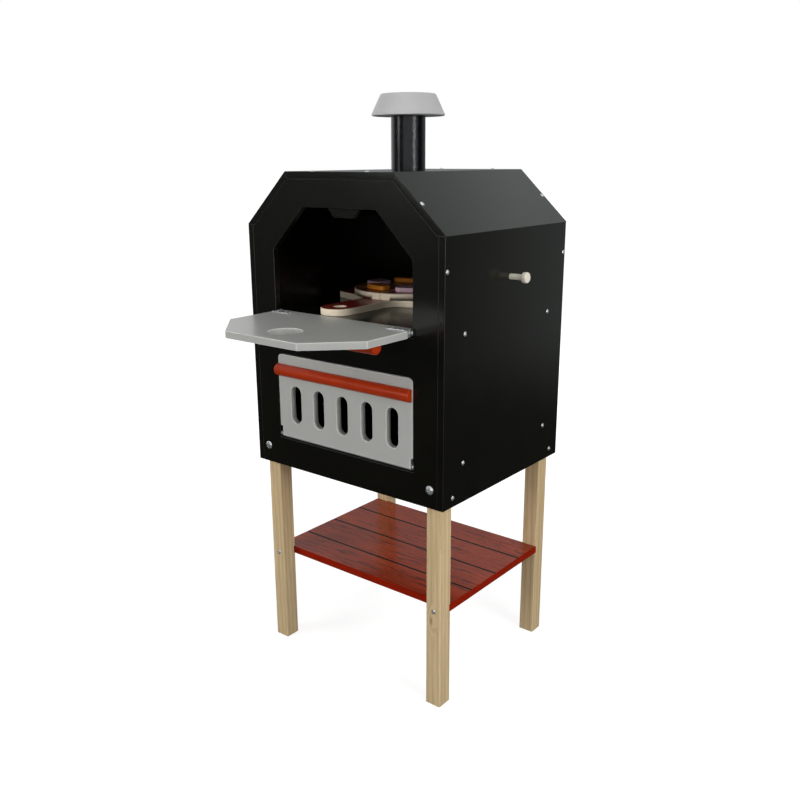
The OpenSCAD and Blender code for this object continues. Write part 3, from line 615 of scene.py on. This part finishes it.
for leg in ("front_left_leg", "front_right_leg", "back_left_leg", "back_right_leg"):
    pine = KNOTTY_PINE if leg == KNOTTY_LEG else PINE
    finished(leg, leg + "_post", pine, ease_mm=0.8, smallest_mm2=40, pick=leg_end)
finished("hanging_peg", "turned_peg", BEECH)

# Shelf: grained faces, plain red edges and black grooves. A groove's faces lie deeper than SKIN inside the
# board's box, and within two thirds of its half depth
SKIN = 0.3 * MM
GROOVED_DEPTH = shelf_high.y * 2 / 3


def shelf_part(middle, normal, eased):
    below_face = shelf_low.z + SKIN < middle.z < shelf_high.z - SKIN
    within_ends = abs(middle.x) < shelf_high.x - SKIN
    if below_face and within_ends and abs(middle.y) < GROOVED_DEPTH:
        return GROOVE_PAINT
    return None if level(normal) else RED_EDGE


finished("shelf", "shelf_board", SHELF_FACE, RED_EDGE, ease_mm=0.8, smallest_mm2=1200,
         pick=shelf_part)


# Peel, pizza and toppings: one finish on the flat faces, another round the edge
def edged(finish):
    return lambda middle, normal, eased: None if level(normal) else finish


finished("peel", "plywood_peel", PEEL_FACE, PEEL_EDGE, ease_mm=0.8, smallest_mm2=2,
         pick=edged(PEEL_EDGE))
for one_slice in SLICES:
    finished(one_slice, one_slice.replace("slice", "piece"), PIZZA_FACE, PIZZA_EDGE,
             ease_mm=0.4, smallest_mm2=60, pick=edged(PIZZA_EDGE))
finished("purple_toppings", "mauve_blocks", MAUVE_FACE, MAUVE_EDGE, ease_mm=0.8,
         smallest_mm2=2, pick=edged(MAUVE_EDGE))
finished("orange_toppings", "orange_blocks", ORANGE_FACE, ORANGE_EDGE, ease_mm=0.8,
         smallest_mm2=2, pick=edged(ORANGE_EDGE))

# Screws, bolts and hinges
for metal in ("stop_screws", "leg_bolts", "side_leg_screws", "side_panel_screws", "floor_screws",
              "roof_screws", "shelf_screws", "chimney_screws", "door_bracket_screws",
              "flap_bracket_screws"):
    finished(metal, metal + "_plated", ZINC)
for metal in ("door_brackets", "flap_brackets"):
    finished(metal, metal + "_plated", NICKEL, ease_mm=0.25, smallest_mm2=4)
for metal in ("door_hinge_pins", "flap_hinge_pins", "door_bushes", "flap_bushes"):
    finished(metal, metal + "_plated", NICKEL)


# ---------------------------------------------------------------- studio

WHITE = (1, 1, 1, 1)
# The floor is a little darker round the feet, where the shadow lies, and white from WHITE_FROM metres out
SHADE_WITHIN = 0.5
WHITE_FROM = 1.6
SHADED_WHITE = 0.82
FLOOR_REACH = 30
FLOOR_DROP = 0.2 * MM
# What the world gives to the light, against 1 where it is seen
SKY_LIGHT = 0.2


def looked_at(tree):
    """1 for rays from the camera, off a glossy face or through glass, and 0 for all others."""
    ray = add(tree, "ShaderNodeLightPath")
    seen = ray.outputs["Is Camera Ray"]
    for kind in ("Is Glossy Ray", "Is Transmission Ray"):
        seen = add(tree, "ShaderNodeMath", {0: seen, 1: ray.outputs[kind]}, operation="MAXIMUM")
    return seen


def studio_floor():
    """A white floor that keeps a soft shadow near the feet and runs out into the white wall."""
    material, tree, spot = new_finish("white_studio_floor")
    away = add(tree, "ShaderNodeVectorMath", {0: spot}, operation="LENGTH").outputs["Value"]
    brightness = add(tree, "ShaderNodeMapRange", {
        "Value": away, "From Min": SHADE_WITHIN, "From Max": WHITE_FROM, "To Min": SHADED_WHITE, "To Max": 1})
    glow = add(tree, "ShaderNodeMath", {0: looked_at(tree), 1: brightness}, operation="MULTIPLY")
    paper = add(tree, "ShaderNodeBsdfDiffuse", {"Color": linear("#a0a0a0")})
    light = add(tree, "ShaderNodeEmission", {"Color": WHITE, "Strength": glow})
    both = add(tree, "ShaderNodeAddShader", {0: paper, 1: light})
    add(tree, "ShaderNodeOutputMaterial", {"Surface": both})
    return material


def staged(name, corners, material):
    """A flat sheet of studio that isn't part of the object."""
    mesh = bpy.data.meshes.new(name)
    mesh.from_pydata(corners, [], [(0, 1, 2, 3)])
    mesh.materials.append(material)
    sheet = bpy.data.objects.new(name, mesh)
    bpy.context.scene.collection.objects.link(sheet)
    return sheet


def lying(reach, height):
    """The corners of a level square round the object."""
    return [(x * reach, y * reach, height) for x, y in ((-1, -1), (1, -1), (1, 1), (-1, 1))]


def upright(left, right, height):
    """The corners of an upright sheet between two points on the floor."""
    return [(*left, 0), (*right, 0), (*right, height), (*left, height)]


floor = staged("studio_floor", lying(FLOOR_REACH, 0), studio_floor())
floor.location.z = -FLOOR_DROP

world = bpy.data.worlds.new("white_studio")
bpy.context.scene.world = world
world.use_nodes = True
sky = world.node_tree
sky.nodes.clear()
sky_level = add(sky, "ShaderNodeMapRange", {"Value": looked_at(sky), "To Min": SKY_LIGHT, "To Max": 1})
sky_white = add(sky, "ShaderNodeBackground", {"Color": WHITE, "Strength": sky_level})
add(sky, "ShaderNodeOutputWorld", {"Surface": sky_white})

LAMPS_AIM_AT = Vector((0, 0, 0.6))


def softbox(name, place, size, watts):
    """A square lamp turned to the middle of the object. The glint cards draw the highlights in its place."""
    lamp = bpy.data.lights.new(name, "AREA")
    lamp.shape = "SQUARE"
    lamp.size = size
    lamp.energy = watts
    holder = bpy.data.objects.new(name, lamp)
    bpy.context.scene.collection.objects.link(holder)
    holder.location = place
    holder.rotation_mode = "QUATERNION"
    holder.rotation_quaternion = (LAMPS_AIM_AT - Vector(place)).to_track_quat("-Z", "Y")
    holder.visible_glossy = False


softbox("key_softbox", (-1.5, -2.3, 1.35), size=1.2, watts=34)
softbox("front_softbox", (0.75, -2.3, 0.95), size=0.9, watts=8.5)
softbox("fill_softbox", (2.6, -0.5, 1.2), size=1.2, watts=41)
softbox("back_softbox", (-0.8, 2.6, 1.5), size=1.4, watts=26)
softbox("top_softbox", (0.3, -0.6, 3.0), size=1.4, watts=8.5)


def reflected_only(sheet):
    """Keeps a studio card out of everything but reflections."""
    for kind in ("camera", "diffuse", "transmission", "volume_scatter", "shadow"):
        setattr(sheet, "visible_" + kind, False)


def glint_card(name, place, width, height, radiance):
    """A small bright card, upright and facing the object, that draws the highlights on rods and screws."""
    material, tree, _ = new_finish(name)
    card = add(tree, "ShaderNodeEmission", {"Color": WHITE, "Strength": radiance})
    add(tree, "ShaderNodeOutputMaterial", {"Surface": card})
    middle = Vector(place)
    side = middle.cross(Vector((0, 0, 1))).normalized() * width / 2
    rise = Vector((0, 0, height / 2))
    corners = [middle - side - rise, middle + side - rise, middle + side + rise, middle - side + rise]
    reflected_only(staged(name, corners, material))


glint_card("left_glint_card", (-1.3, -2.35, 1.22), width=0.34, height=0.5, radiance=8)
glint_card("right_glint_card", (2.5, -0.5, 1.05), width=0.42, height=0.6, radiance=9)

HEIGHT_ONLY = (0, 0, 1)
DEPTH_ONLY = (0, 1, 0)
DARK_CARD_TINT = (0.92, 1, 0.98, 1)


def dark_card(name, corners, centre, counted, near, far, near_level, far_level, bend=1):
    """A dark studio card that keeps black paint black.

    Its level changes from near to far, measured from a centre along the axis that is counted. A bend above 1
    puts most of the change at the far end, and one below 1 puts it at the near end.
    """
    material, tree, spot = new_finish(name)
    from_centre = add(tree, "ShaderNodeVectorMath", {0: spot, 1: centre}, operation="SUBTRACT")
    measured = add(tree, "ShaderNodeVectorMath", {0: from_centre, 1: counted}, operation="MULTIPLY")
    away = add(tree, "ShaderNodeVectorMath", {0: measured}, operation="LENGTH").outputs["Value"]
    reach = add(tree, "ShaderNodeMapRange", {"Value": away, "From Min": near, "From Max": far})
    slow = add(tree, "ShaderNodeMath", {0: reach, 1: bend}, operation="POWER")
    brightness = add(tree, "ShaderNodeMapRange", {"Value": slow, "To Min": near_level, "To Max": far_level})
    card = add(tree, "ShaderNodeEmission", {"Color": DARK_CARD_TINT, "Strength": brightness})
    add(tree, "ShaderNodeOutputMaterial", {"Surface": card})
    reflected_only(staged(name, corners, material))


# One card lies on the floor round the object. The upright ones stand where the front, the right side, and the
# roof, the open door and the shelf are reflected
dark_card("floor_dark_card", lying(reach=3, height=1 * MM), centre=(0, -3, 0), counted=DEPTH_ONLY,
          near=4.55, far=5.6, near_level=0.035, far_level=0.24)
dark_card("front_dark_card", upright(left=(-3.4, -1.3), right=(0.2, -3.3), height=2.4), centre=(0, 0, 0),
          counted=HEIGHT_ONLY, near=0, far=1.2, near_level=0.04, far_level=0.17)
dark_card("side_dark_card", upright(left=(1.2, 3.0), right=(3.6, 0.8), height=1.6), centre=(0, 0.8, 0),
          counted=DEPTH_ONLY, near=1.35, far=2.2, near_level=0.02, far_level=0.48)
dark_card("back_dark_card", upright(left=(-2.6, 2.0), right=(1.2, 3.0), height=3.8), centre=(0, 0, 2.45),
          counted=HEIGHT_ONLY, near=0, far=2.45, near_level=0.95, far_level=0.12, bend=0.45)

# The camera stands 1.6 m from the middle of the object, and looks at it from 39 degrees round from the front
# and 16 degrees up
AZIMUTH = math.radians(38.64)
ELEVATION = math.radians(15.66)
ROLL = math.radians(-0.26)
EYE_PLACE = (0.965035, -1.233413, 0.924423)
camera = bpy.data.cameras.new("camera")
camera.sensor_width = 36
camera.lens = 38.745
camera.clip_start = 0.05
camera.clip_end = 100
eye = bpy.data.objects.new("camera", camera)
bpy.context.scene.collection.objects.link(eye)
turned = (Matrix.Rotation(AZIMUTH, 4, "Z") @ Matrix.Rotation(math.pi / 2 - ELEVATION, 4, "X")
          @ Matrix.Rotation(ROLL, 4, "Z"))
eye.matrix_world = Matrix.Translation(EYE_PLACE) @ turned
bpy.context.scene.camera = eye
bpy.context.scene.view_settings.view_transform = "Standard"
